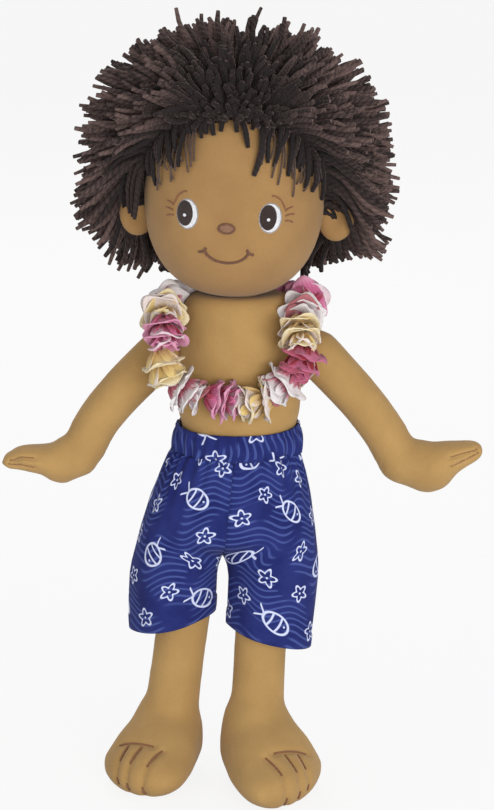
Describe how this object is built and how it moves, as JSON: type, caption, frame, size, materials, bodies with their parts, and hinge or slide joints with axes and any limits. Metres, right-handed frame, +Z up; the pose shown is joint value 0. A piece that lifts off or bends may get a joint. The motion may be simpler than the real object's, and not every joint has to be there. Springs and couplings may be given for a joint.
{
  "type": "costume rag doll",
  "caption": "Stuffed cloth rag doll standing with arms out, big yarn afro, embroidered face, blue printed shorts and a flower garland, with thread-jointed limbs.",
  "frame": {"origin": "middle of the underside of the bounding box, on the floor under the soles", "axes": "+Z up along the standing doll, -Y the way its chest faces, +X towards its left hand"},
  "size_m": [0.246, 0.1336, 0.3874],
  "materials": {
    "skin_cloth": "matte brown knit cloth",
    "stuffing": "white polyester fibre",
    "brown_thread": "matte embroidery thread",
    "yarn": "soft dark brown bulky yarn",
    "eye_white": "white satin stitch",
    "iris_thread": "dark brown satin stitch",
    "shorts_cloth": "printed blue cotton",
    "elastic": "woven elastic",
    "garland_thread": "white cotton string",
    "petal_pink": "dyed pink petal cloth",
    "petal_pale": "pale pink petal cloth",
    "petal_cream": "cream petal cloth",
    "petal_crimson": "crimson petal cloth"
  },
  "bodies": {
    "torso": {"torso_front_panel": "skin_cloth", "torso_back_panel": "skin_cloth", "torso_stuffing": "stuffing", "right_hip_thread": "brown_thread", "left_hip_thread": "brown_thread", "shorts_right_panel": "shorts_cloth", "shorts_left_panel": "shorts_cloth", "shorts_waistband": "shorts_cloth", "waist_elastic": "elastic"},
    "neck": {"neck_plug": "skin_cloth"},
    "head": {"face_panel": "skin_cloth", "head_back_panel": "skin_cloth", "head_stuffing": "stuffing", "right_ear": "skin_cloth", "right_eye_white": "eye_white", "right_iris": "iris_thread", "left_ear": "skin_cloth", "left_eye_white": "eye_white", "left_iris": "iris_thread", "nose_stitch": "brown_thread", "mouth_stitch": "brown_thread", "hair_cap": "yarn", "hair_front": "yarn", "hair_back": "yarn", "hair_right_side": "yarn", "hair_left_side": "yarn"},
    "garland": {"garland_string": "garland_thread", "blossom_01": "petal_crimson", "blossom_02": "petal_pink", "blossom_03": "petal_pink", "blossom_04": "petal_pale", "blossom_05": "petal_cream", "blossom_06": "petal_crimson", "blossom_07": "petal_pale", "blossom_08": "petal_cream", "blossom_09": "petal_pink", "blossom_10": "petal_pale", "blossom_11": "petal_cream", "blossom_12": "petal_pink", "blossom_13": "petal_cream", "blossom_14": "petal_pale", "blossom_15": "petal_pink", "blossom_16": "petal_crimson"},
    "right_shoulder": {"right_shoulder_thread": "brown_thread"},
    "right_arm": {"right_arm_front_panel": "skin_cloth", "right_arm_back_panel": "skin_cloth", "right_arm_stuffing": "stuffing"},
    "right_leg": {"right_leg_front_panel": "skin_cloth", "right_leg_back_panel": "skin_cloth", "right_leg_stuffing": "stuffing", "right_sole": "skin_cloth"},
    "left_shoulder": {"left_shoulder_thread": "brown_thread"},
    "left_arm": {"left_arm_front_panel": "skin_cloth", "left_arm_back_panel": "skin_cloth", "left_arm_stuffing": "stuffing"},
    "left_leg": {"left_leg_front_panel": "skin_cloth", "left_leg_back_panel": "skin_cloth", "left_leg_stuffing": "stuffing", "left_sole": "skin_cloth"}
  },
  "joints": [
    {"name": "neck_turn", "type": "hinge", "parent": "torso", "child": "neck", "pos_m": [0, -0.0124, 0.254], "axis": [0, 0, 1], "range_deg": [-50, 50]},
    {"name": "head_nod", "type": "hinge", "parent": "neck", "child": "head", "pos_m": [0, -0.0124, 0.254], "axis": [1, 0, 0], "range_deg": [-8, 10]},
    {"name": "right_arm_swing", "type": "hinge", "parent": "torso", "child": "right_shoulder", "pos_m": [-0.037, -0.0124, 0.222], "axis": [-1, 0, 0], "range_deg": [-45, 30]},
    {"name": "right_arm_raise", "type": "hinge", "parent": "right_shoulder", "child": "right_arm", "pos_m": [-0.037, -0.0124, 0.222], "axis": [0, 1, 0], "range_deg": [-10, 40]},
    {"name": "left_arm_swing", "type": "hinge", "parent": "torso", "child": "left_shoulder", "pos_m": [0.037, -0.0124, 0.222], "axis": [-1, 0, 0], "range_deg": [-45, 30]},
    {"name": "left_arm_raise", "type": "hinge", "parent": "left_shoulder", "child": "left_arm", "pos_m": [0.037, -0.0124, 0.222], "axis": [0, -1, 0], "range_deg": [-10, 40]},
    {"name": "right_hip_bend", "type": "hinge", "parent": "torso", "child": "right_leg", "pos_m": [-0.022, -0.0124, 0.13], "axis": [-1, 0, 0], "range_deg": [-25, 80], "deforming": ["shorts_right_panel"]},
    {"name": "left_hip_bend", "type": "hinge", "parent": "torso", "child": "left_leg", "pos_m": [0.014, -0.0124, 0.13], "axis": [-1, 0, 0], "range_deg": [-25, 80], "deforming": ["shorts_left_panel"]},
    {"name": "garland_lift", "type": "hinge", "parent": "torso", "child": "garland", "pos_m": [0, 0.0186, 0.237], "axis": [-1, 0, 0], "range_deg": [0, 6]}
  ]
}
